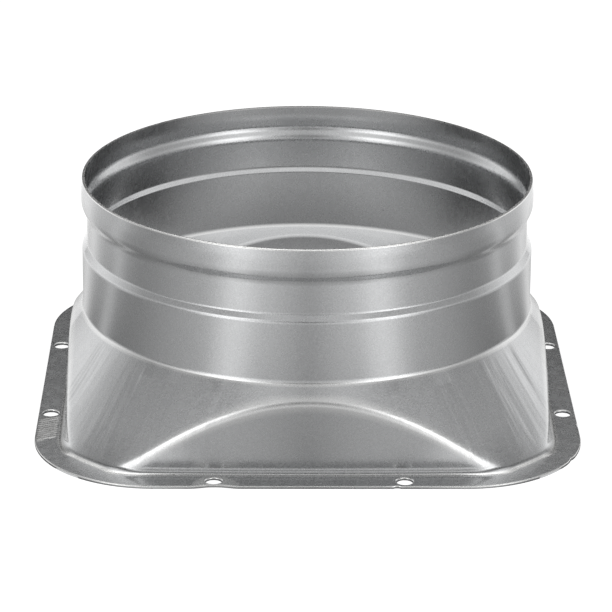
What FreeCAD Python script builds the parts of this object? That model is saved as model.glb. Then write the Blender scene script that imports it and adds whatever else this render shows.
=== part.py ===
import FreeCAD, Part
import math
import os

# Square to round duct adapter, deep drawn in one piece from zinc coated steel sheet.
# Millimetres. Z is up, and the origin lies on the underside of the flange, on the collar's axis.

# Sheet
sheet = 0.9

# Round collar, outside sizes, each stretch measured against the one above it
duct_diameter = 149.9
rim_inset = 0.5
neck_inset = 1.85
spigot_step = 1.65

# Heights, from the rim down to the underside of the flange
rim_height = 3.8
band_height = 4.5
waist_height = 3.0
neck_height = 10.5
step_height = 2.2
spigot_height = 20.1
cone_height = 30.2

# How far the flat faces and the corners of the square base stand out from the spigot
face_standoff = 3.85
corner_standoff = 24.1

# Bend radii, each on the hollow side of its bend
rim_bend = 20.0
waist_bend = 4.0
step_bend = 1.2
shoulder_bend = 2.5
ridge_bend = 3.1
foot_bend = 2.2

# Flange and its fixing holes, two along each side
flange_width = 9.9
hole_diameter = 5.2
hole_pitch = 60.0
hole_edge_distance = 4.0
hole_rounding = 0.5

# Dent in the flange's front edge, beside its left hole
dent_from_middle = 30.0
dent_length = 11.0
dent_depth = 0.6

# How far a cutting shape runs past what it cuts
overrun = 5.0

# Sizes that follow from these
band_radius = duct_diameter / 2
neck_radius = band_radius - neck_inset
spigot_radius = neck_radius + spigot_step
face_distance = spigot_radius + face_standoff
foot_radius = spigot_radius + corner_standoff
flange_half = face_distance + flange_width
hole_line = flange_half - hole_edge_distance
step_level = cone_height + spigot_height
neck_level = step_level + step_height
waist_level = neck_level + neck_height
band_level = waist_level + waist_height
rim_level = band_level + band_height
height = rim_level + rim_height

# The flange is as wide at its corners as along its sides
corner_reach = foot_radius + flange_width
flange_corner = (math.sqrt(2) * flange_half - corner_reach) / (math.sqrt(2) - 1)

origin = FreeCAD.Vector(0, 0, 0)
up = FreeCAD.Vector(0, 0, 1)


# Points and directions below are (radius, height), in the half plane through the axis.
def direction(start, end):
    length = math.dist(start, end)
    return ((end[0] - start[0]) / length, (end[1] - start[1]) / length)


def moved(point, way, distance):
    return (point[0] + distance * way[0], point[1] + distance * way[1])


def turn(way_a, way_b):
    return way_a[0] * way_b[1] - way_a[1] * way_b[0]


# Where two lines cross, each given by a point and a direction
def crossing(point_a, way_a, point_b, way_b):
    gap = (point_b[0] - point_a[0], point_b[1] - point_a[1])
    return moved(point_a, way_a, turn(gap, way_b) / turn(way_a, way_b))


# The outside of the wall from rim to foot: its corners, and the bend at each inner one
def outside_line():
    corners = [
        (band_radius - rim_inset, height),
        (band_radius, rim_level),
        (band_radius, band_level),
        (neck_radius, waist_level),
        (neck_radius, neck_level),
        (spigot_radius, step_level),
        (spigot_radius, cone_height),
        (foot_radius, 0.0),
    ]
    bends = [rim_bend, waist_bend, waist_bend, step_bend, step_bend, shoulder_bend]
    return corners, bends


# The same line at a depth below the outside, run on past the rim and the foot
def wall_line(depth):
    corners, bends = outside_line()
    ways = [direction(start, end) for start, end in zip(corners, corners[1:])]
    starts = [moved(start, (way[1], -way[0]), depth) for start, way in zip(corners, ways)]
    foot = moved(corners[-1], (ways[-1][1], -ways[-1][0]), depth)
    line = [moved(starts[0], ways[0], -overrun)]
    radii = []
    for k, bend in enumerate(bends):
        line.append(crossing(starts[k], ways[k], starts[k + 1], ways[k + 1]))
        hollow_outside = turn(ways[k], ways[k + 1]) > 0
        radii.append(bend + depth if hollow_outside else bend + sheet - depth)
    line.append(moved(foot, ways[-1], overrun))
    return line, radii


def in_space(point):
    return FreeCAD.Vector(point[0], 0, point[1])


def straight(start, end):
    return Part.makeLine(in_space(start), in_space(end))


# Edges along a line of corners, with an arc of its own radius at each inner corner
def rounded_edges(line, radii):
    edges = []
    start = line[0]
    for k, radius in enumerate(radii):
        corner = line[k + 1]
        back = direction(corner, line[k])
        ahead = direction(corner, line[k + 2])
        half_angle = math.acos(back[0] * ahead[0] + back[1] * ahead[1]) / 2
        setback = radius / math.tan(half_angle)
        enter = moved(corner, back, setback)
        leave = moved(corner, ahead, setback)
        inward = direction((0, 0), (back[0] + ahead[0], back[1] + ahead[1]))
        middle = moved(corner, inward, radius / math.sin(half_angle) - radius)
        edges.append(straight(start, enter))
        edges.append(Part.Arc(in_space(enter), in_space(middle), in_space(leave)).toShape())
        start = leave
    edges.append(straight(start, line[-1]))
    return edges


# The round form turned about the axis, its seam at a corner of the square
def turned_form(depth):
    line, radii = wall_line(depth)
    top = (0, line[0][1])
    bottom = (0, line[-1][1])
    edges = [straight(top, line[0])] + rounded_edges(line, radii)
    edges += [straight(line[-1], bottom), straight(bottom, top)]
    form = Part.Face(Part.Wire(edges)).revolve(origin, up, 360)
    form.rotate(origin, up, 45)
    return form


# A square block centred on the axis, between two levels
def block(half_side, bottom, top):
    corner = FreeCAD.Vector(-half_side, -half_side, bottom)
    return Part.makeBox(2 * half_side, 2 * half_side, top - bottom, corner)


# Four flat faces cut the cone, and the arched ridge that each leaves is rounded
def arched_form(depth):
    reach = face_distance - depth
    form = turned_form(depth).common(block(reach, -2 * overrun, height + 2 * overrun))
    ridges = [edge for edge in form.Edges if edge.Curve.TypeId == "Part::GeomHyperbola"]
    return form.makeFillet(ridge_bend + sheet - depth, ridges)


# Whether an edge lies flat at a level, inside a square about the axis
def lies_at(edge, level, half_side):
    box = edge.BoundBox
    flat = max(abs(box.ZMin - level), abs(box.ZMax - level)) < 0.01
    return flat and max(box.XMax, box.YMax, -box.XMin, -box.YMin) < half_side


# The arched form on a wide slab, with the foot bend where they meet
def footed_form(depth):
    level = sheet - depth
    slab_half = flange_half + overrun
    form = arched_form(depth).fuse(block(slab_half, -overrun, level)).removeSplitter()
    foot = [edge for edge in form.Edges if lies_at(edge, level, slab_half - 1)]
    return form.makeFillet(foot_bend + depth, foot)


def is_upright(edge):
    return edge.BoundBox.XLength < 0.01 and edge.BoundBox.YLength < 0.01


# The flange's outline as a column, which also trims the rim flat
def outline_column():
    column = block(flange_half, 0, height)
    return column.makeFillet(flange_corner, [edge for edge in column.Edges if is_upright(edge)])


# What one punch takes out: a round hole whose upper edge is drawn in to a rounding
def punch():
    radius = hole_diameter / 2
    wide = radius + hole_rounding
    low = sheet - hole_rounding
    slant = hole_rounding * (1 - math.sqrt(0.5))
    middle = (radius + slant, sheet - slant)
    rounding = Part.Arc(in_space((radius, low)), in_space(middle), in_space((wide, sheet)))
    edges = [
        straight((0, -overrun), (radius, -overrun)),
        straight((radius, -overrun), (radius, low)),
        rounding.toShape(),
        straight((wide, sheet), (wide, sheet + overrun)),
        straight((wide, sheet + overrun), (0, sheet + overrun)),
        straight((0, sheet + overrun), (0, -overrun)),
    ]
    return Part.Face(Part.Wire(edges)).revolve(origin, up, 360)


# Two punches along each side of the flange
def punches():
    tools = []
    for quarter in range(4):
        for along in (-hole_pitch / 2, hole_pitch / 2):
            tool = punch()
            tool.translate(FreeCAD.Vector(along, -hole_line, 0))
            tool.rotate(origin, up, 90 * quarter)
            tools.append(tool)
    return tools


# A wide roller whose side leaves a shallow dent of the stated length and depth
def dent_roller():
    radius = (dent_length ** 2 / 4 + dent_depth ** 2) / (2 * dent_depth)
    centre = FreeCAD.Vector(-dent_from_middle, dent_depth - flange_half - radius, -overrun)
    return Part.makeCylinder(radius, sheet + 2 * overrun, centre)


# One sheet of even thickness: the outside form less the inside form, trimmed and punched
def adapter_shell():
    shell = footed_form(0.0).cut(footed_form(sheet)).common(outline_column())
    return shell.cut(punches() + [dent_roller()]).removeSplitter().Solids[0]


os.makedirs("parts", exist_ok=True)
adapter_shell().exportStep("parts/adapter_shell.step")
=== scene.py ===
import math

import bmesh
import bpy
from mathutils import Matrix, Vector


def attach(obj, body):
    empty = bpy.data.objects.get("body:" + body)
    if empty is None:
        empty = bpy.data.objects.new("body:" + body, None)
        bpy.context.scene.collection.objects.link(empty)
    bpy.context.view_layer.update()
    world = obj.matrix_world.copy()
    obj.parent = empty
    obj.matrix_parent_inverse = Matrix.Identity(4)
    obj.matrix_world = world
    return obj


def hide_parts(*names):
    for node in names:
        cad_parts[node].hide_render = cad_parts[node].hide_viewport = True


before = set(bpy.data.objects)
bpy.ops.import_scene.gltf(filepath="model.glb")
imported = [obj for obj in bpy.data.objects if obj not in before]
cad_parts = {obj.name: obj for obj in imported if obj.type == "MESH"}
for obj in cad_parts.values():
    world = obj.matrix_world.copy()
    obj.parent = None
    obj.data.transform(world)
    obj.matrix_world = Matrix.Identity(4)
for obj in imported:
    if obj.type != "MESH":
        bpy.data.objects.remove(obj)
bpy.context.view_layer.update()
mm = 0.001


def deselectAll():
    bpy.ops.object.select_all(action="DESELECT")


# The pressing, outside sizes in millimetres: the flange's underside is at 0
shellValues = {
    "sheet": 0.9,
    "columns": 360,             # one to a degree
    "bendStep": 4.5,            # degrees of a collar bend to one ring, or finer
    "bendRings": 4,
    "rimTop": 74.3,
    "rimMiddle": 74.0,          # a radius between the rim's inner and outer edge
    "faceDistance": 78.6,       # from the axis to a flat face
    "faceCrown": 0.5,           # how far the middle of a flat face springs out
    "crownHalf": 46.0,          # and how far from there the face is back at its distance
    "coneReach": 98.85,         # radius the cone would have at the underside
    "coneSlope": 0.798,         # radius gained per millimetre down
    "coneStart": 28.4,          # height where the base rows take over from the collar
    "ridgeRadius": 4.0,
    "ridgeFlare": 1.3,          # how much wider the rounding opens where a ridge runs out at the foot
    "flareHeight": 9.0,
    "footRadius": 2.2,
    "footEnd": 81.6,            # where the foot bend has run out on a flat side
    "cornerTurns": (34, 41),    # degrees from a face's middle over which a side becomes a corner
    "cornerFoot": 4.0,          # the foot bend opens to this at the four corners
    "cornerSpread": 0.9,        # and the cone's last millimetres flare by this there
    "spreadHeight": 12.0,
    "cornerFlat": 3.6,          # the foot bend stays this far inside the outline at a corner
    "cornerFlatTurn": 30,
    "flangeHalf": 88.5,
    "flangeCorner": 39.6,
    "baseRows": 34,
    "flangeRows": 6,
    "edgeRounding": 0.34,       # the shears roll the upper edges over
    "edgeSteps": 4,
    "cutRounding": 0.14,        # what is left sharp, as round the holes, is broken by this
    "cutSteps": 2,
    "cutAngle": 50,
    "merge": 0.003,             # what lies closer than this is one vertex
    "hairline": 0.01,           # how exactly a vertex has to lie on an edge to count
    "slopeStep": 0.01,          # a slope is read so far above and below
    "smoothAngle": 35,          # an edge that bends more shades as sharp
}
# radius, height and bend radius at each corner of the collar's outside line, from above the rim down
collarCorners = [
    (74.318, 75.3, 0),
    (74.95, 70.5, 20.9),
    (74.95, 66.0, 4.9),
    (73.10, 63.0, 4.0),
    (73.10, 52.5, 1.2),
    (74.75, 50.3, 2.1),
    (74.75, 30.2, 2.5),
    (76.187, 28.4, 0),
]


# radius and height of each ring down the collar, with every bend as an arc of short steps
def collarStations():
    stations = [collarCorners[0][:2]]
    for before, corner, after in zip(collarCorners, collarCorners[1:], collarCorners[2:]):
        middle = Vector(corner[:2])
        back = (Vector(before[:2]) - middle).normalized()
        ahead = (Vector(after[:2]) - middle).normalized()
        bend = math.pi - back.angle(ahead)
        centre = middle + (back + ahead).normalized() * (corner[2] / math.cos(bend / 2))
        arm = middle + back * (corner[2] * math.tan(bend / 2)) - centre
        side = 1 if arm.x * ahead.y - arm.y * ahead.x > 0 else -1
        steps = max(shellValues["bendRings"], round(math.degrees(bend) / shellValues["bendStep"]))
        for k in range(steps + 1):
            spoke = Matrix.Rotation(side * bend * k / steps, 2) @ arm
            stations.append(tuple(centre + spoke))
    stations.append(collarCorners[-1][:2])
    return stations


# distance to a rounded meeting of two surfaces, from how far each lies past the rounding's centre
def roundedMeet(a, b, cosine, radius):
    if a > b * cosine and b > a * cosine:
        return math.sqrt((a * a + b * b - 2 * a * b * cosine) / (1 - cosine * cosine)) - radius
    return max(a, b) - radius


# how far a turn lies in a corner: 0 on the flat faces, 1 past the ridges' feet
def cornerShare(turn):
    start, end = shellValues["cornerTurns"]
    share = min(1.0, max(0.0, (math.degrees(turn) - start) / (end - start)))
    return share * share * (3 - 2 * share)


# distance above the cone and the flat face, with the arched ridge between them rounded
def baseDistance(turn, r, z):
    v = shellValues
    flare = min(1.0, max(0.0, 1 - z / v["flareHeight"]))
    ridge = v["ridgeRadius"] * (1 + v["ridgeFlare"] * flare * flare)
    steep = 1 / math.hypot(1, v["coneSlope"])
    low = min(1.0, max(0.0, 1 - z / v["spreadHeight"]))
    spread = v["cornerSpread"] * cornerShare(turn) * low * low
    aboveCone = (r - v["coneReach"] - spread + v["coneSlope"] * z) * steep
    crown = v["faceCrown"] * (1 - (r * math.sin(turn) / v["crownHalf"]) ** 2)
    beforeFace = r * math.cos(turn) - v["faceDistance"] - crown
    return roundedMeet(aboveCone + ridge, beforeFace + ridge, steep * math.cos(turn), ridge)


# the same with the flange's upper side, and the hollow foot bend where they meet
def shellDistance(turn, r, z):
    v = shellValues
    foot = v["footRadius"] + (v["cornerFoot"] - v["footRadius"]) * cornerShare(turn)
    step = v["slopeStep"]
    toBase = baseDistance(turn, r, z)
    rise = (baseDistance(turn, r, z + step) - baseDistance(turn, r, z - step)) / (2 * step)
    return -roundedMeet(foot - toBase, foot - (z - v["sheet"]), rise, foot)


# radius of the flange's outline: straight sides, and rounded corners about their own centres
def outlineRadius(turn):
    v = shellValues
    corner = v["flangeHalf"] - v["flangeCorner"]
    if math.tan(turn) < corner / v["flangeHalf"]:
        return v["flangeHalf"] / math.cos(turn)
    along = corner * (math.cos(turn) + math.sin(turn))
    return along + math.sqrt(along * along - 2 * corner * corner + v["flangeCorner"] ** 2)


# How a section of the base is found, and shared out into rows
sectionValues = {
    "hub": (58.0, -20.0),       # radius and height of the point that the rays start from
    "rays": 260,
    "near": 15.0,               # the surface lies between these distances on every ray
    "far": 60.0,
    "halvings": 22,
    "length": 2.6,              # so much length counts as much
    "bend": 5.5,                # as so many degrees of bend
}


# where the rays at one turn from a face's middle meet the surface
def sectionLine(turn):
    v = shellValues
    s = sectionValues
    hub = Vector(s["hub"])
    start = Vector((v["coneReach"] - v["coneSlope"] * v["coneStart"], v["coneStart"]))
    finish = Vector((v["footEnd"] / math.cos(turn), v["sheet"]))
    if turn > math.radians(v["cornerFlatTurn"]):
        finish.x = min(finish.x, outlineRadius(turn) - v["cornerFlat"])
    first = math.atan2(start.y - hub.y, start.x - hub.x)
    last = math.atan2(finish.y - hub.y, finish.x - hub.x)
    line = []
    for k in range(s["rays"] + 1):
        angle = first + (last - first) * k / s["rays"]
        ray = Vector((math.cos(angle), math.sin(angle)))
        near, far = s["near"], s["far"]
        for step in range(s["halvings"]):
            half = (near + far) / 2
            point = hub + ray * half
            if shellDistance(turn, point.x, point.y) < 0:
                near = half
            else:
                far = half
        line.append(hub + ray * near)
    return line


# the rows of the base and the flange at one turn, closer together where the section bends
def baseSection(turn):
    v = shellValues
    s = sectionValues
    line = sectionLine(turn)
    rays = s["rays"]
    shares = [0.0]
    for k in range(1, rays):
        leg, nextLeg = line[k] - line[k - 1], line[k + 1] - line[k]
        shares.append(shares[-1] + leg.length / s["length"] + leg.angle(nextLeg) / math.radians(s["bend"]))
    shares.append(shares[-1] + (line[-1] - line[-2]).length / s["length"])
    rows = []
    k = 0
    for row in range(1, v["baseRows"] + 1):
        wanted = shares[-1] * row / v["baseRows"]
        while k < rays - 1 and shares[k + 1] < wanted:
            k += 1
        part = (wanted - shares[k]) / (shares[k + 1] - shares[k])
        rows.append(line[k].lerp(line[k + 1], min(1.0, part)))
    edge = outlineRadius(turn)
    inner = rows[-1].x
    for row in range(1, v["flangeRows"] + 1):
        rows.append(Vector((inner + (edge - inner) * row / v["flangeRows"], v["sheet"])))
    return rows


# a ring drawn down through its stations, each one an extrude and a resize about its own axis
def drawRing(name, stations, columns, x=0.0, y=0.0):
    deselectAll()
    r, z = stations[0]
    bpy.ops.mesh.primitive_circle_add(vertices=columns, radius=r * mm, location=(x * mm, y * mm, z * mm))
    ring = bpy.context.object
    ring.name = name
    ring.data.name = name
    bpy.ops.object.transform_apply(location=True, rotation=True, scale=True)
    bpy.ops.object.mode_set(mode="EDIT")
    bpy.ops.mesh.select_all(action="SELECT")
    for nextR, nextZ in stations[1:]:
        bpy.ops.mesh.extrude_region_move(TRANSFORM_OT_translate={"value": (0, 0, (nextZ - z) * mm)})
        bpy.ops.transform.resize(value=(nextR / r, nextR / r, 1), center_override=(x * mm, y * mm, 0))
        r, z = nextR, nextZ
    return ring


# the degrees from the middle of the nearest flat face, up to 45
def faceTurn(x, y):
    turn = round(math.degrees(math.atan2(y, x))) % 90
    return min(turn, 90 - turn)


# the base: the last ring is drawn on row by row, each vertex to its place on the section
def drawBase(shell):
    sections = [baseSection(math.radians(turn)) for turn in range(46)]
    for row in range(len(sections[0])):
        bpy.ops.mesh.extrude_region_move()
        mesh = bmesh.from_edit_mesh(shell.data)
        for vert in mesh.verts:
            if vert.select:
                azimuth = math.atan2(vert.co.y, vert.co.x)
                place = sections[faceTurn(vert.co.x, vert.co.y)][row] * mm
                vert.co = (place.x * math.cos(azimuth), place.x * math.sin(azimuth), place.y)
        bmesh.update_edit_mesh(shell.data)


# Fixing holes, two along each side
holeValues = {
    "radius": 2.6,
    "rounding": 0.5,            # the punch draws the upper edge in
    "roundingTurns": (15, 30, 45, 60, 75),
    "widening": 0.02,           # what the punch gains above the sheet
    "past": 3.0,                # how far the punch stands out above and below
    "columns": 40,
    "pitch": 60.0,
    "line": 84.5,               # from the axis to the row of holes
}


# one punch, copied to the seven other places
def makePunches():
    h = holeValues
    top = shellValues["sheet"]
    stations = [(h["radius"], -h["past"]), (h["radius"], top - h["rounding"])]
    for degrees in h["roundingTurns"]:
        a = math.radians(degrees)
        out = h["rounding"] * (1 - math.cos(a))
        stations.append((h["radius"] + out, top - h["rounding"] * (1 - math.sin(a))))
    stations.append((stations[-1][0] + h["widening"], top + h["past"]))
    half, line = h["pitch"] / 2, h["line"]
    punch = drawRing("punches", stations, h["columns"], -half, -line)
    bpy.ops.mesh.select_all(action="SELECT")
    bpy.ops.mesh.fill_holes(sides=0)
    x, y = -half, -line
    for nextX, nextY in ((half, -line), (line, -half), (line, half), (half, line),
                         (-half, line), (-line, half), (-line, -half)):
        step = ((nextX - x) * mm, (nextY - y) * mm, 0)
        bpy.ops.mesh.duplicate_move(TRANSFORM_OT_translate={"value": step})
        x, y = nextX, nextY
    bpy.ops.mesh.select_all(action="SELECT")
    bpy.ops.mesh.normals_make_consistent(inside=False)
    bpy.ops.object.mode_set(mode="OBJECT")
    return punch


def applyModifier(piece, name):
    deselectAll()
    piece.select_set(True)
    bpy.context.view_layer.objects.active = piece
    bpy.ops.object.modifier_apply(modifier=name)


def punchShell(shell):
    v = shellValues
    punch = makePunches()
    cut = shell.modifiers.new("cut", "BOOLEAN")
    cut.operation = "DIFFERENCE"
    cut.solver = "EXACT"
    cut.object = punch
    applyModifier(shell, "cut")
    bpy.data.objects.remove(punch, do_unlink=True)
    rounding = shell.modifiers.new("edges", "BEVEL")
    rounding.limit_method = "ANGLE"
    rounding.angle_limit = math.radians(v["cutAngle"])
    rounding.width = v["cutRounding"] * mm
    rounding.segments = v["cutSteps"]
    applyModifier(shell, "edges")
    bpy.ops.object.mode_set(mode="EDIT")
    bpy.ops.mesh.select_all(action="SELECT")
    bpy.ops.mesh.remove_doubles(threshold=v["merge"] * mm)
    bpy.ops.object.mode_set(mode="OBJECT")


# selects the vertices, edges or faces that a rule names
def pick(piece, kind, rule):
    bpy.ops.mesh.select_mode(type=kind)
    bpy.ops.mesh.select_all(action="DESELECT")
    mesh = bmesh.from_edit_mesh(piece.data)
    for part in {"VERT": mesh.verts, "EDGE": mesh.edges, "FACE": mesh.faces}[kind]:
        if rule(part):
            part.select_set(True)
    mesh.select_flush_mode()
    bmesh.update_edit_mesh(piece.data)


def onRim(vert):
    v = shellValues
    return vert.co.z > (v["rimTop"] - v["hairline"]) * mm and vert.co.xy.length > v["rimMiddle"] * mm


def onOutline(vert):
    v = shellValues
    outline = outlineRadius(math.radians(faceTurn(vert.co.x, vert.co.y))) * mm
    high = vert.co.z >= (v["sheet"] - v["hairline"]) * mm
    return high and abs(vert.co.xy.length - outline) <= v["hairline"] * mm


# true for an edge of the flange's upper outline, or of the rim's outer edge
def onUpperEdge(edge):
    return all(onRim(vert) for vert in edge.verts) or all(onOutline(vert) for vert in edge.verts)


def makeShell():
    v = shellValues
    shell = drawRing("pressedShell", collarStations(), v["columns"])
    drawBase(shell)
    bpy.ops.mesh.select_all(action="SELECT")
    bpy.ops.mesh.normals_make_consistent(inside=False)
    bpy.ops.object.mode_set(mode="OBJECT")
    wall = shell.modifiers.new("sheet", "SOLIDIFY")
    wall.thickness = v["sheet"] * mm
    wall.offset = -1
    wall.use_even_offset = True
    wall.use_quality_normals = True
    bpy.ops.object.modifier_apply(modifier="sheet")
    bpy.ops.object.mode_set(mode="EDIT")
    bpy.ops.mesh.select_all(action="SELECT")
    bpy.ops.mesh.bisect(plane_co=(0, 0, v["rimTop"] * mm), plane_no=(0, 0, 1), clear_outer=True)
    pick(shell, "EDGE", lambda edge: edge.is_boundary)
    bpy.ops.mesh.bridge_edge_loops()
    bpy.ops.mesh.select_all(action="SELECT")
    bpy.ops.mesh.normals_make_consistent(inside=False)
    pick(shell, "EDGE", onUpperEdge)
    bpy.ops.mesh.bevel(offset=v["edgeRounding"] * mm, segments=v["edgeSteps"], affect="EDGES")
    bpy.ops.object.mode_set(mode="OBJECT")
    return shell


# Wear, in millimetres: where the metal is pushed and how far, the reach over which that fades,
# and how many times the mesh is divided there first
wear = {
    "dent": {"place": (-30.0, -88.5, 0.45), "push": (0, 0.6, 0.3),
             "near": 1.3, "reach": 7.0, "finer": 0},
    "frontNick": {"place": (27.5, -88.5, 0.6), "push": (0, 0.38, 0),
                  "near": 0.6, "reach": 1.0, "finer": 2},
    "cornerNick": {"place": (84.2, -67.0, 0.6), "push": (-0.32, 0.27, 0),
                   "near": 0.6, "reach": 1.0, "finer": 2},
    "sideNick": {"place": (88.3, -40.0, 0.6), "push": (-0.38, 0, 0),
                 "near": 0.6, "reach": 1.0, "finer": 2},
    "leftNick": {"place": (-87.0, -63.9, 0.6), "push": (0.32, 0.22, 0),
                 "near": 0.6, "reach": 1.0, "finer": 2},
}
# ripples pressed into the left side of the flange, slanting across it
ripples = {
    "x": -84.8,
    "front": -50.5,
    "back": -34.0,
    "step": 1.6,
    "half": 2.7,                # half the length of one
    "slant": 0.45,
    "height": 0.045,
    "top": 1,                   # only what lies lower than this is pressed
    "near": 0.3,
    "reach": 0.95,
    "past": 1,                  # the mesh is divided so far past the row's ends
    "finer": 2,
}
fineMargin = 0.6    # and everywhere so far past what is moved


def divideNear(shell, place, reach, times):
    span = (reach + fineMargin) * mm
    for cut in range(times):
        pick(shell, "FACE", lambda face: (face.calc_center_median() - place).length < span)
        bpy.ops.mesh.subdivide(number_cuts=1)


# moves what is selected by so many metres, and what is near it less and less
def pushSelected(way, reach):
    bpy.ops.transform.translate(value=way, use_proportional_edit=True,
                                proportional_edit_falloff="SMOOTH", proportional_size=reach * mm)


def pushMetal(shell, place, push, near, reach, finer):
    place = Vector(place) * mm
    bpy.ops.object.mode_set(mode="EDIT")
    divideNear(shell, place, reach, finer)
    pick(shell, "VERT", lambda vert: (vert.co - place).length < near * mm)
    pushSelected(Vector(push) * mm, reach)
    bpy.ops.object.mode_set(mode="OBJECT")


def pressRipples(shell):
    v = ripples
    middle = Vector((v["x"], (v["front"] + v["back"]) / 2, shellValues["sheet"] / 2)) * mm
    bpy.ops.object.mode_set(mode="EDIT")
    divideNear(shell, middle, (v["back"] - v["front"]) / 2 + v["past"], v["finer"])
    along = Vector((1, v["slant"], 0)).normalized()
    y = v["front"]
    while y <= v["back"]:
        start = Vector((v["x"], y, 0)) * mm

        def onRipple(vert):
            apart = vert.co - start
            apart.z = 0
            run = max(-v["half"] * mm, min(v["half"] * mm, apart.dot(along)))
            return vert.co.z < v["top"] * mm and (apart - along * run).length < v["near"] * mm

        pick(shell, "VERT", onRipple)
        pushSelected((0, 0, v["height"] * mm), v["reach"])
        y += v["step"]
    bpy.ops.object.mode_set(mode="OBJECT")


shell = makeShell()
print("shell drawn:", len(shell.data.vertices), "vertices")
for values in wear.values():
    pushMetal(shell, **values)
pressRipples(shell)
print("edges nicked and flange rippled")
punchShell(shell)
print("holes punched and edges rounded:", len(shell.data.vertices), "vertices")


# sRGB hex to the linear colour that a shader takes
def linear(hexColour):
    parts = [int(hexColour[i:i + 2], 16) / 255 for i in (1, 3, 5)]
    return [c / 12.92 if c <= 0.04045 else ((c + 0.055) / 1.055) ** 2.4 for c in parts] + [1.0]


# adds a node, sets what is named, and links what comes from another node, which may be named by
# its socket or, for its first one, by itself
def addNode(tree, kind, settings=None, **inputs):
    node = tree.nodes.new("ShaderNode" + kind)
    for name, value in (settings or {}).items():
        setattr(node, name, value)
    for name, value in inputs.items():
        byNumber = name[0] == "i" and name[1:].isdigit()
        socket = node.inputs[int(name[1:])] if byNumber else node.inputs[name.replace("_", " ")]
        if isinstance(value, bpy.types.Node):
            value = value.outputs[0]
        if isinstance(value, bpy.types.NodeSocket):
            tree.links.new(value, socket)
        else:
            socket.default_value = value
    return node


def newMaterial(name):
    material = bpy.data.materials.new(name)
    material.use_nodes = True
    material.node_tree.nodes.clear()
    return material, material.node_tree


# Deep drawn zinc coated sheet: a satin grey metal under a thin clear gloss. Sizes and heights are in
# millimetres, and four heights are where a share starts, is full, still is, and has ended
steelValues = {
    "light": "#cccdce",
    "dark": "#c2c3c4",
    "highlightPaint": "#f1f1f0",     # painted highlight: a brighter colour along the lines where the highlights fall
    "roughness": (0.25, 0.29),
    "coatRoughness": 0.06,
    "pattern": (0.3, 0.7),      # the part of a random pattern that shows
    "grain": 0.6,               # speckle of the zinc, drawn as coarse as it needs to show
    "grainDepth": 0.02,
    "grainDetail": 2.0,
    "peel": 2.4,                # orange peel left by the press
    "peelDepth": 0.026,
    "insideShare": 0.2,         # how much of the grain and the peel shows on the inside of the wall,
    "insideFacing": (-0.4, -0.1),
    "upperShare": 0.5,          # on the wall above the foot, where the sheet was stretched less,
    "upperHeights": (3.0, 14.0),
    "flangeShare": 0.15,        # and on the flat flange
    "flangeHeights": (1.0, 3.0),
    "streakWidth": 7.0,         # draw marks down the corners of the cone
    "streakDepth": 0.85,
    "streakDetail": 2.6,
    "streakRadius": 85.0,       # where the pattern's width round the axis is true
    "streakLong": 0.12,         # width of a mark to its length
    "streakHeights": (2.0, 7.0, 26.0, 30.0),
    "cornerRange": (0.55, 0.9),     # of the sine of twice the turn
    "patch": 17.0,              # size of the patches that the marks come in
    "patchRange": (0.35, 0.58),
    "patchLeast": 0.15,
    "ridgeHighlightPaint": 0.55,       # how much of the painted highlight the ridges and the crease above them get
    "ridgeDepth": (2.2, 0.6),   # how far inside the sharp ridge the painted highlight starts and is full
    "ridgeHeights": (1.5, 3.0, 26.4, 27.4),
    "creaseHighlightPaint": 0.5,
    "creaseHeights": (28.9, 29.3, 30.1, 30.5),
    "footHeights": (0.902, 0.912, 1.15, 1.35),      # the last of the foot bend
    "edgeHeights": (0.55, 0.65, 0.86, 0.89),        # the rolled upper edge of the flange
    "rimHeights": (73.8, 74.0),
    "spot": 7.0,                # spacing of the cells that may hold a small spot or speck
    "spotSize": 0.32,
    "spotShare": 0.05,
    "spotColour": "#77787a",
    "speckColour": "#f4f4f4",
}


# 1 between two of four values, passing to 0 towards the outer two
def between(tree, value, start, full, fade, end):
    rising = addNode(tree, "MapRange", None, Value=value, From_Min=start * mm, From_Max=full * mm)
    falling = addNode(tree, "MapRange", None, Value=value, From_Min=end * mm, From_Max=fade * mm)
    return addNode(tree, "Math", {"operation": "MULTIPLY"}, i0=rising, i1=falling)


# how much of the grain and the peel shows: all of it near the foot, where the sheet was stretched
# most, half of it above that, and less on the flange and on the inside of the wall
def grainShare(tree, coordinates):
    v = steelValues
    level = addNode(tree, "VectorMath", {"operation": "MULTIPLY"},
                    i0=coordinates.outputs["Object"], i1=(1, 1, 0))
    outward = addNode(tree, "VectorMath", {"operation": "NORMALIZE"}, i0=level)
    facing = addNode(tree, "VectorMath", {"operation": "DOT_PRODUCT"},
                     i0=outward, i1=coordinates.outputs["Normal"])
    low, high = v["insideFacing"]
    outside = addNode(tree, "MapRange", None, Value=facing.outputs["Value"],
                      From_Min=low, From_Max=high, To_Min=v["insideShare"])
    height = addNode(tree, "SeparateXYZ", None, i0=coordinates.outputs["Object"]).outputs[2]
    low, high = v["upperHeights"]
    stretched = addNode(tree, "MapRange", None, Value=height, From_Min=low * mm, From_Max=high * mm,
                        To_Min=1.0, To_Max=v["upperShare"])
    low, high = v["flangeHeights"]
    offFlange = addNode(tree, "MapRange", None, Value=height, From_Min=low * mm, From_Max=high * mm,
                        To_Min=v["flangeShare"])
    wall = addNode(tree, "Math", {"operation": "MULTIPLY"}, i0=stretched, i1=offFlange)
    return addNode(tree, "Math", {"operation": "MULTIPLY"}, i0=outside, i1=wall)


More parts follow.
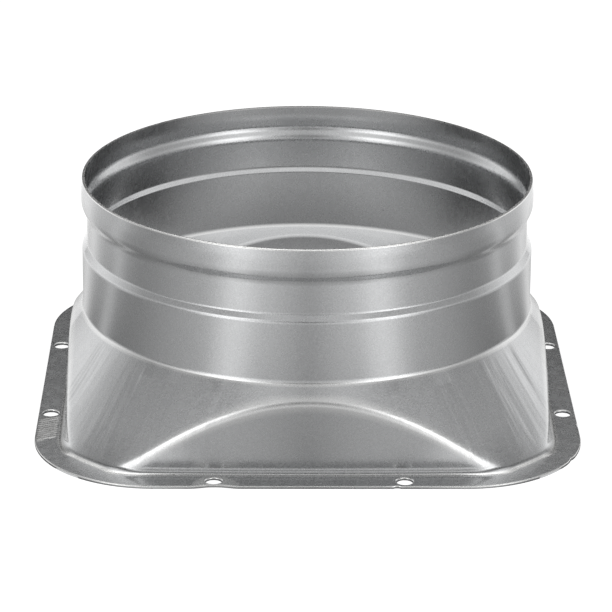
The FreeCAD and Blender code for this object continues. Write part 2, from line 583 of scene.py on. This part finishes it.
# draw marks: a pattern narrow round the axis and long down the wall, in patches, kept to the
# cone's corners
def addStreaks(tree, place):
    v = steelValues
    parts = addNode(tree, "SeparateXYZ", None, i0=place)
    turn = addNode(tree, "Math", {"operation": "ARCTAN2"}, i0=parts.outputs[1], i1=parts.outputs[0])
    around = addNode(tree, "Math", {"operation": "MULTIPLY"}, i0=turn, i1=v["streakRadius"] * mm)
    down = addNode(tree, "Math", {"operation": "MULTIPLY"}, i0=parts.outputs[2], i1=v["streakLong"])
    line = addNode(tree, "CombineXYZ", None, i0=around, i1=down)
    cloud = addNode(tree, "TexNoise", None, Vector=line, Scale=1 / (v["patch"] * mm), Detail=0.0)
    low, high = v["patchRange"]
    patches = addNode(tree, "MapRange", None, Value=cloud, From_Min=low, From_Max=high,
                      To_Min=v["patchLeast"])
    strands = addNode(tree, "TexNoise", None, Vector=line, Scale=1 / (v["streakWidth"] * mm),
                      Detail=v["streakDetail"])
    waves = addNode(tree, "Math", {"operation": "SUBTRACT"}, i0=strands, i1=0.5)
    marks = addNode(tree, "Math", {"operation": "MULTIPLY"}, i0=waves, i1=patches)
    double = addNode(tree, "Math", {"operation": "MULTIPLY"}, i0=turn, i1=2.0)
    sine = addNode(tree, "Math", {"operation": "SINE"}, i0=double)
    corner = addNode(tree, "Math", {"operation": "ABSOLUTE"}, i0=sine)
    low, high = v["cornerRange"]
    atCorner = addNode(tree, "MapRange", None, Value=corner, From_Min=low, From_Max=high)
    atHeight = between(tree, parts.outputs[2], *v["streakHeights"])
    kept = addNode(tree, "Math", {"operation": "MULTIPLY"}, i0=atCorner, i1=atHeight)
    return addNode(tree, "Math", {"operation": "MULTIPLY"}, i0=marks, i1=kept)


# 1 on the arched ridges, where the cone and a flat side meet, fading out on both sides of them; the
# painted highlight on the ridges follows it
def ridgeShare(tree, place):
    v = steelValues
    parts = addNode(tree, "SeparateXYZ", None, i0=place)
    level = addNode(tree, "CombineXYZ", None, i0=parts.outputs[0], i1=parts.outputs[1])
    radius = addNode(tree, "VectorMath", {"operation": "LENGTH"}, i0=level)
    sizes = [addNode(tree, "Math", {"operation": "ABSOLUTE"}, i0=parts.outputs[side]) for side in (0, 1)]
    reach = addNode(tree, "Math", {"operation": "MAXIMUM"}, i0=sizes[0], i1=sizes[1])
    across = addNode(tree, "Math", {"operation": "MULTIPLY_ADD"},
                     i0=parts.outputs[2], i1=shellValues["coneSlope"], i2=radius.outputs["Value"])
    both = addNode(tree, "Math", {"operation": "ADD"}, i0=across, i1=reach)
    meet = shellValues["coneReach"] + shellValues["faceDistance"]
    start, full = v["ridgeDepth"]
    onRidge = addNode(tree, "MapRange", None, Value=both,
                      From_Min=(meet - start) * mm, From_Max=(meet - full) * mm)
    atHeight = between(tree, parts.outputs[2], *v["ridgeHeights"])
    return addNode(tree, "Math", {"operation": "MULTIPLY"}, i0=onRidge, i1=atHeight)


# painted highlights, lines of brighter colour where the highlights fall: the ridges, the end of the foot
# bend, the rolled-over upper edge of the flange, the rim, and the crease at the foot of the straight wall
def paintedHighlightShare(tree, place):
    v = steelValues
    height = addNode(tree, "SeparateXYZ", None, i0=place).outputs[2]
    foot = between(tree, height, *v["footHeights"])
    edge = between(tree, height, *v["edgeHeights"])
    start, full = v["rimHeights"]
    rim = addNode(tree, "MapRange", None, Value=height, From_Min=start * mm, From_Max=full * mm)
    crease = addNode(tree, "Math", {"operation": "MULTIPLY"},
                     i0=between(tree, height, *v["creaseHeights"]), i1=v["creaseHighlightPaint"])
    total = addNode(tree, "Math", {"operation": "MULTIPLY"},
                    i0=ridgeShare(tree, place), i1=v["ridgeHighlightPaint"])
    for line in (foot, edge, rim, crease):
        total = addNode(tree, "Math", {"operation": "ADD", "use_clamp": True}, i0=total, i1=line)
    return total


# sparse dark spots and light specks: the middle of a few cells
def addSpots(tree, place, colour):
    v = steelValues
    cells = addNode(tree, "TexVoronoi", None, Vector=place, Scale=1 / (v["spot"] * mm))
    ratio = v["spotSize"] / v["spot"]
    near = addNode(tree, "MapRange", None, Value=cells.outputs["Distance"],
                   From_Min=ratio, From_Max=0.5 * ratio)
    lot = addNode(tree, "SeparateColor", None, i0=cells.outputs["Color"])
    for drawn, spotColour in ((lot.outputs[0], v["spotColour"]), (lot.outputs[1], v["speckColour"])):
        chosen = addNode(tree, "Math", {"operation": "LESS_THAN"}, i0=drawn, i1=v["spotShare"])
        here = addNode(tree, "Math", {"operation": "MULTIPLY"}, i0=near, i1=chosen)
        colour = addNode(tree, "Mix", {"data_type": "RGBA"},
                         i0=here, i6=colour, i7=linear(spotColour)).outputs[2]
    return colour


def zincCoatedSteel():
    v = steelValues
    material, tree = newMaterial("zincCoatedSteel")
    coordinates = addNode(tree, "TexCoord")
    place = coordinates.outputs["Object"]
    share = grainShare(tree, coordinates)
    grain = addNode(tree, "TexNoise", None, Vector=place, Scale=1 / (v["grain"] * mm),
                    Detail=v["grainDetail"])
    peel = addNode(tree, "TexNoise", None, Vector=place, Scale=1 / (v["peel"] * mm),
                   Detail=v["grainDetail"])
    streaks = addStreaks(tree, place)
    low, high = v["pattern"]
    flecks = addNode(tree, "MapRange", None, Value=grain, From_Min=low, From_Max=high)
    sheen = addNode(tree, "Mix", {"data_type": "RGBA"},
                    i0=flecks, i6=linear(v["dark"]), i7=linear(v["light"]))
    # painted highlight: the colour is brightened along the ridges, bends, edges and crease where the
    # highlights fall
    highlighted = addNode(tree, "Mix", {"data_type": "RGBA"},
                     i0=paintedHighlightShare(tree, place), i6=sheen.outputs[2], i7=linear(v["highlightPaint"]))
    colour = addSpots(tree, place, highlighted.outputs[2])
    sharp, dull = v["roughness"]
    roughness = addNode(tree, "MapRange", None, Value=peel, From_Min=low, From_Max=high,
                        To_Min=sharp, To_Max=dull)
    drawn = addNode(tree, "Bump", None, Distance=v["streakDepth"] * mm, Height=streaks)
    peeled = addNode(tree, "Bump", None, Strength=share, Distance=v["peelDepth"] * mm,
                     Height=peel, Normal=drawn)
    grained = addNode(tree, "Bump", None, Strength=share, Distance=v["grainDepth"] * mm,
                      Height=grain, Normal=peeled)
    bsdf = addNode(tree, "BsdfPrincipled", Metallic=1.0, Coat_Weight=1.0,
                   Coat_Roughness=v["coatRoughness"], Base_Color=colour, Roughness=roughness,
                   Normal=grained, Coat_Normal=peeled)
    addNode(tree, "OutputMaterial", Surface=bsdf)
    return material


shell.data.materials.append(zincCoatedSteel())
deselectAll()
shell.select_set(True)
bpy.context.view_layer.objects.active = shell
bpy.ops.object.shade_smooth_by_angle(angle=math.radians(shellValues["smoothAngle"]))
weights = shell.modifiers.new("normals", "WEIGHTED_NORMAL")
weights.keep_sharp = True
bpy.ops.object.modifier_apply(modifier="normals")
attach(shell, "root")
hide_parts("adapter_shell")
print("material on, shell in place of the CAD solid")


# where a direction from the object points: azimuth 0 is towards the camera, positive to its right
def towards(azimuth, elevation):
    a, e = math.radians(azimuth), math.radians(elevation)
    return Vector((math.sin(a) * math.cos(e), -math.cos(a) * math.cos(e), math.sin(e)))


# The studio as the metal mirrors it: an even level, and soft glows that come in left and right pairs,
# each with its level, azimuth, elevation and how far it reaches in degrees
studio = {
    "ceiling": {"level": 0.02, "glows": [
        (0.97, 40, 20, 40), (1.53, 40, 30, 20), (1.99, 40, 0, 20), (0.76, 10, 0, 28),
        (0.75, 20, 50, 20), (0.3, 0, 42, 20), (0.50, 70, 30, 28), (0.56, 100, 10, 40),
        (0.96, 130, 10, 40), (2.1, 180, 42, 19), (1.80, 160, 70, 40)]},
    # the near levels start lower than the far ones: painted shade round the object
    "tableNear": {"level": 0.228, "glows": [
        (0.26, 40, 0, 45), (0.5, 30, 0, 11), (0.18, 10, 0, 20), (0.35, 97, 0, 7),
        (0.5, 124, 0, 15), (0.85, 158, 0, 28)]},
    "tableFar": {"level": 0.324, "glows": [
        (0.26, 40, 0, 45), (0.42, 31, 0, 12), (0.34, 20, 0, 30), (0.3, 97, 0, 7),
        (0.36, 120, 0, 45), (0.37, 130, 0, 14), (0.85, 158, 0, 28)]},
    "nearEnd": 0.10,            # metres from the axis where the near levels pass into the far ones
    "farStart": 0.26,
    "contact": (0.0003, 0.0016),    # metres from the flange's outline over which the contact shade lifts
    "contactLevel": 0.3,
    "glowPower": 2.0,           # how much faster than evenly a glow fades from its middle
    "domeRadius": 2.4,
    "domeSegments": 48,
    "domeRings": 24,
    "tableRadius": 4.0,
    "tableSides": 64,
    "tableColour": "#d8d8d8",
    "whiteGlow": 0.72,
    "skyFill": 0.5,
}
# The table inside the base, front to back in millimetres: the level mirrored at each place, along the
# middle and towards the sides, and the distances from the middle over which one passes into the other
# these levels are painted light and shade on the table inside the base
insideLevels = {
    "middle": [(-78, 0.85), (-56, 0.64), (-47, 0.4), (-20, 0.25), (20, 0.25), (50, 0.68), (70, 1.05)],
    "sides": [(-78, 0.95), (-50, 0.68), (-20, 0.55), (15, 0.4), (45, 0.06), (70, 0.05)],
    "pass": (22, 50),
    "pastFace": 2.0,            # they end this far outside the flat faces
}


# the brightness a mirror direction meets, as nodes: the glows are added up one after the other
def addGlows(tree, place, values):
    way = addNode(tree, "VectorMath", {"operation": "NORMALIZE"}, i0=place)
    parts = addNode(tree, "SeparateXYZ", None, i0=way)
    across = addNode(tree, "Math", {"operation": "ABSOLUTE"}, i0=parts.outputs[0])
    folded = addNode(tree, "CombineXYZ", None, i0=across, i1=parts.outputs[1], i2=parts.outputs[2])
    total = values["level"]
    for level, azimuth, elevation, reach in values["glows"]:
        near = addNode(tree, "VectorMath", {"operation": "DOT_PRODUCT"},
                       i0=folded, i1=towards(azimuth, elevation))
        fade = addNode(tree, "MapRange", None, Value=near.outputs["Value"],
                       From_Min=math.cos(math.radians(reach)), From_Max=1.0)
        soft = addNode(tree, "Math", {"operation": "POWER"}, i0=fade, i1=studio["glowPower"])
        total = addNode(tree, "Math", {"operation": "MULTIPLY_ADD"}, i0=soft, i1=level, i2=total)
    return total


# what the metal sees overhead; nothing else sees it
def makeDome():
    deselectAll()
    bpy.ops.mesh.primitive_uv_sphere_add(segments=studio["domeSegments"], ring_count=studio["domeRings"],
                                         radius=studio["domeRadius"])
    dome = bpy.context.object
    dome.name = "studioDome"
    bpy.ops.object.mode_set(mode="EDIT")
    bpy.ops.mesh.select_all(action="SELECT")
    bpy.ops.mesh.bisect(plane_co=(0, 0, 0), plane_no=(0, 0, -1), clear_outer=True)
    bpy.ops.object.mode_set(mode="OBJECT")
    material, tree = newMaterial("studioGlow")
    place = addNode(tree, "TexCoord").outputs["Object"]
    level = addGlows(tree, place, studio["ceiling"])
    emit = addNode(tree, "Emission", Color=(1, 1, 1, 1), Strength=level)
    addNode(tree, "OutputMaterial", Surface=emit)
    dome.data.materials.append(material)
    for sight in ("visible_camera", "visible_diffuse", "visible_shadow", "visible_transmission"):
        setattr(dome, sight, False)


# a level that changes evenly from one named place to the next
def addLevels(tree, place, levels):
    total = levels[0][1]
    for (y0, level0), (y1, level1) in zip(levels, levels[1:]):
        change = addNode(tree, "MapRange", None, Value=place, From_Min=y0 * mm, From_Max=y1 * mm,
                         To_Max=level1 - level0)
        total = addNode(tree, "Math", {"operation": "ADD"}, i0=total, i1=change)
    return total


# the dark line where the flange meets the table, as the metal mirrors it: from the distance to its
# outline
def contactShade(tree, parts):
    corner = shellValues["flangeCorner"] * mm
    straight = shellValues["flangeHalf"] * mm - corner
    pastSides = []
    for side in (0, 1):
        size = addNode(tree, "Math", {"operation": "ABSOLUTE"}, i0=parts.outputs[side])
        past = addNode(tree, "Math", {"operation": "SUBTRACT"}, i0=size, i1=straight)
        pastSides.append(addNode(tree, "Math", {"operation": "MAXIMUM"}, i0=past, i1=0.0))
    past = addNode(tree, "CombineXYZ", None, i0=pastSides[0], i1=pastSides[1])
    away = addNode(tree, "VectorMath", {"operation": "LENGTH"}, i0=past)
    inset, outset = studio["contact"]
    return addNode(tree, "MapRange", None, Value=away.outputs["Value"], From_Min=corner + inset,
                   From_Max=corner + outset, To_Min=studio["contactLevel"])


# what the metal mirrors of the table: near and far levels outside, the near ones starting lower as painted
# shade round the object, and others inside the base
def tableLevel(tree, place):
    away = addNode(tree, "VectorMath", {"operation": "LENGTH"}, i0=place)
    passing = addNode(tree, "MapRange", None, Value=away.outputs["Value"],
                      From_Min=studio["nearEnd"], From_Max=studio["farStart"])
    outside = addNode(tree, "Mix", None, i0=passing,
                      i2=addGlows(tree, place, studio["tableNear"]),
                      i3=addGlows(tree, place, studio["tableFar"]))
    parts = addNode(tree, "SeparateXYZ", None, i0=place)
    shaded = addNode(tree, "Math", {"operation": "MULTIPLY"}, i0=outside, i1=contactShade(tree, parts))
    across = addNode(tree, "Math", {"operation": "ABSOLUTE"}, i0=parts.outputs[0])
    start, end = insideLevels["pass"]
    sideways = addNode(tree, "MapRange", None, Value=across, From_Min=start * mm, From_Max=end * mm)
    within = addNode(tree, "Mix", None, i0=sideways,
                     i2=addLevels(tree, parts.outputs[1], insideLevels["middle"]),
                     i3=addLevels(tree, parts.outputs[1], insideLevels["sides"]))
    half = (shellValues["faceDistance"] + insideLevels["pastFace"]) * mm
    inX = addNode(tree, "Math", {"operation": "COMPARE"}, i0=parts.outputs[0], i1=0.0, i2=half)
    inY = addNode(tree, "Math", {"operation": "COMPARE"}, i0=parts.outputs[1], i1=0.0, i2=half)
    inside = addNode(tree, "Math", {"operation": "MULTIPLY"}, i0=inX, i1=inY)
    return addNode(tree, "Mix", None, i0=inside, i2=shaded, i3=within)


# a plain white table: white to the eye with the object's soft shadow, and the studio's glows to the metal
def makeTable():
    deselectAll()
    bpy.ops.mesh.primitive_circle_add(vertices=studio["tableSides"], radius=studio["tableRadius"],
                                      fill_type="NGON")
    table = bpy.context.object
    table.name = "table"
    material, tree = newMaterial("whitePaper")
    place = addNode(tree, "TexCoord").outputs["Object"]
    mirrored = addNode(tree, "Emission", Color=(1, 1, 1, 1), Strength=tableLevel(tree, place))
    path = addNode(tree, "LightPath")
    straight = addNode(tree, "Math", {"operation": "MAXIMUM"},
                       i0=path.outputs["Is Camera Ray"], i1=path.outputs["Is Transmission Ray"])
    toEye = addNode(tree, "Math", {"operation": "MULTIPLY"}, i0=straight, i1=studio["whiteGlow"])
    white = addNode(tree, "Emission", Color=(1, 1, 1, 1), Strength=toEye)
    paper = addNode(tree, "BsdfDiffuse", Color=linear(studio["tableColour"]))
    plain = addNode(tree, "AddShader", None, i0=white, i1=paper)
    both = addNode(tree, "MixShader", None, i0=path.outputs["Is Glossy Ray"], i1=plain, i2=mirrored)
    addNode(tree, "OutputMaterial", Surface=both)
    table.data.materials.append(material)


def makeWorld():
    world = bpy.data.worlds.new("studio")
    world.use_nodes = True
    bpy.context.scene.world = world
    tree = world.node_tree
    tree.nodes.clear()
    path = addNode(tree, "LightPath")
    direct = addNode(tree, "Math", {"operation": "MAXIMUM"},
                     i0=path.outputs["Is Camera Ray"], i1=path.outputs["Is Glossy Ray"])
    seen = addNode(tree, "Math", {"operation": "MAXIMUM"},
                   i0=direct, i1=path.outputs["Is Transmission Ray"])
    strength = addNode(tree, "MapRange", None, Value=seen, To_Min=studio["skyFill"], To_Max=1.0)
    ground = addNode(tree, "Background", Color=(1, 1, 1, 1), Strength=strength)
    addNode(tree, "OutputWorld", Surface=ground)


# two soft lamps at the front, which light the table and cast the soft shadow
softboxes = {
    "azimuths": {"left": -39, "right": 39},
    "elevation": 38,
    "distance": 1.1,
    "size": 0.6,
    "level": 1.2,
}


def makeSoftboxes():
    v = softboxes
    for name, azimuth in v["azimuths"].items():
        data = bpy.data.lights.new(f"{name}Softbox", "AREA")
        data.shape = "RECTANGLE"
        data.size = v["size"]
        data.size_y = v["size"]
        data.energy = v["level"] * math.pi * v["size"] * v["size"]
        lamp = bpy.data.objects.new(f"{name}Softbox", data)
        lamp.visible_glossy = False    # the dome's glows stand for them in the metal
        bpy.context.collection.objects.link(lamp)
        way = towards(azimuth, v["elevation"])
        lamp.location = way * v["distance"]
        lamp.rotation_euler = way.to_track_quat("Z", "Y").to_euler()


# the photograph's camera, fitted to the flange, the rim and the holes
view = {
    "lens": 183.39,
    "sensor": 36.0,
    "picture": 612,             # pixels across
    "distance": 1.04788,
    "elevation": 21.0766,
    "turn": 0.8403,
    "roll": 0.3851,
    "aimHeight": 0.027036,
    "clip": (0.05, 20.0),
}


def makeCamera():
    data = bpy.data.cameras.new("camera")
    data.lens = view["lens"]
    data.sensor_width = view["sensor"]
    data.clip_start, data.clip_end = view["clip"]
    camera = bpy.data.objects.new("camera", data)
    bpy.context.collection.objects.link(camera)
    halfPixel = 0.5 / view["picture"] * view["sensor"] / view["lens"] * view["distance"]
    tilt = Matrix.Rotation(math.radians(90 - view["elevation"]), 4, "X")
    roll = Matrix.Rotation(math.radians(view["roll"]), 4, "Z")
    back = Matrix.Translation((-halfPixel, halfPixel, view["distance"]))
    turn = Matrix.Rotation(math.radians(-view["turn"]), 4, "Z")
    camera.matrix_world = turn @ Matrix.Translation((0, 0, view["aimHeight"])) @ tilt @ roll @ back
    bpy.context.scene.camera = camera


makeTable()
makeDome()
makeWorld()
makeSoftboxes()
print("studio set")
makeCamera()
print("camera set")
bpy.context.scene.view_settings.view_transform = "Standard"
